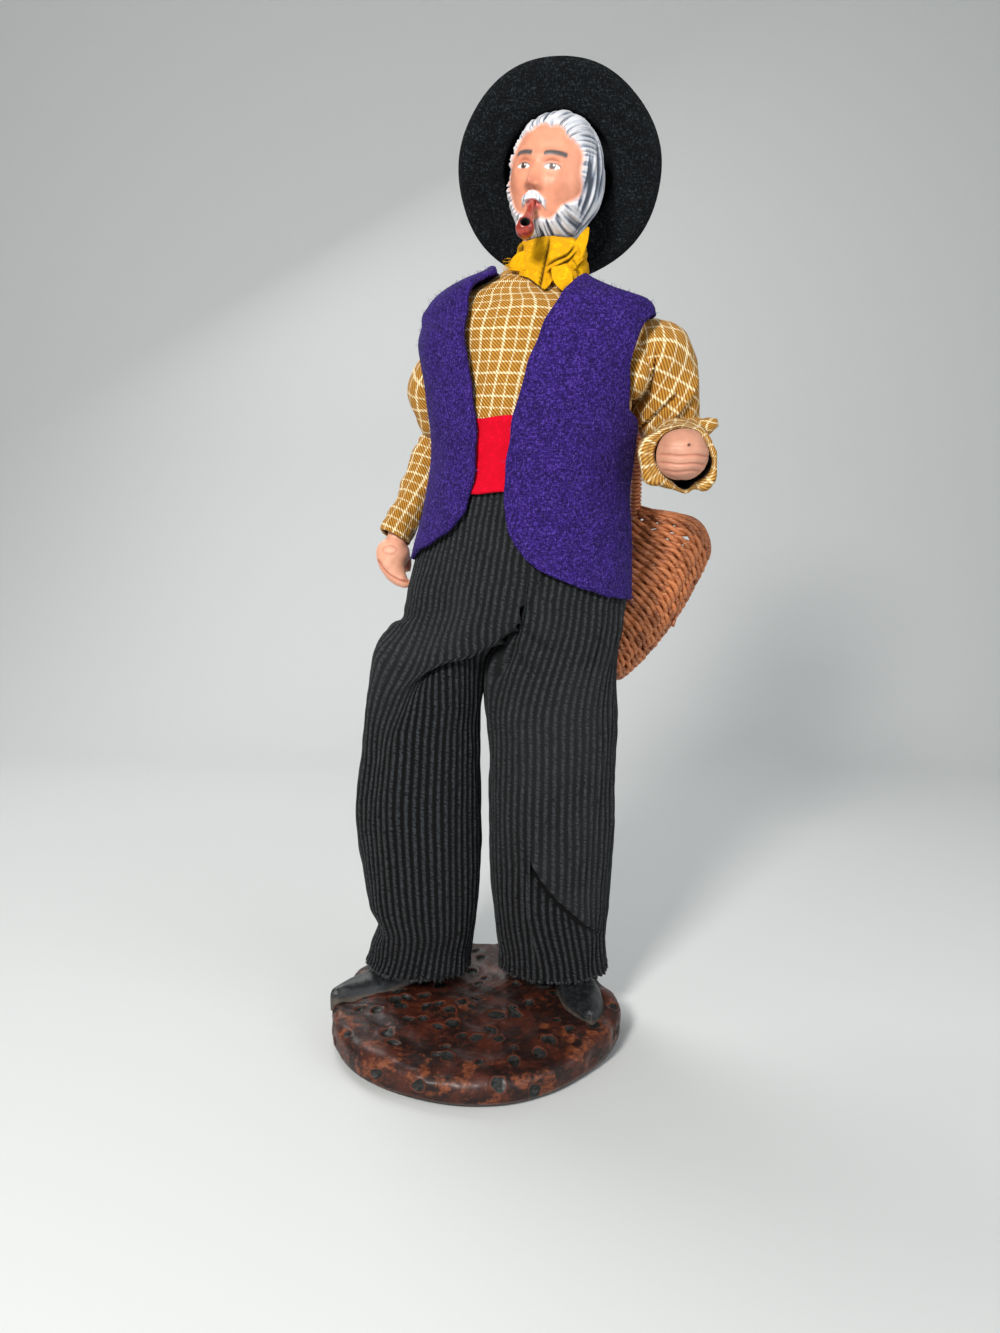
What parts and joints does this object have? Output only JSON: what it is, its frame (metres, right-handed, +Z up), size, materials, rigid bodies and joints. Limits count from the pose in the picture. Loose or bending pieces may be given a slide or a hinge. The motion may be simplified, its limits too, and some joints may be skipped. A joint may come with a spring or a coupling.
{
  "type": "santon figure",
  "caption": "Standing dressed clay figure of an old walker with a felt hat, open vest, sash, pipe and a wicker basket on one arm.",
  "frame": {"origin": "centre of the base's flat underside", "axes": "+Z up, -Y the front of the base that the view faces, +X to the figure's left"},
  "size_m": [0.127, 0.1113, 0.2932],
  "materials": {
    "base_clay": "varnished, mottled dark and orange brown",
    "shoe_paint": "satin black paint",
    "corduroy": "matt ribbed corduroy",
    "check_cotton": "matt twill with a cream check",
    "red_cloth": "matt brushed cloth",
    "purple_felt": "matt fibrous felt",
    "yellow_cloth": "matt plain weave",
    "painted_clay": "matt hand painted clay",
    "pipe_paint": "glossy red brown",
    "black_felt": "matt fibrous felt",
    "wicker": "satin split willow"
  },
  "bodies": {
    "root": {"base": "base_clay", "shoe_right": "shoe_paint", "shoe_left": "shoe_paint", "trousers": "corduroy", "shirt": "check_cotton", "sash": "red_cloth", "vest": "purple_felt", "neckerchief": "yellow_cloth", "head": "painted_clay", "pipe": "pipe_paint", "hat": "black_felt", "hand_right": "painted_clay", "hand_left": "painted_clay", "basket": "wicker"}
  },
  "joints": []
}
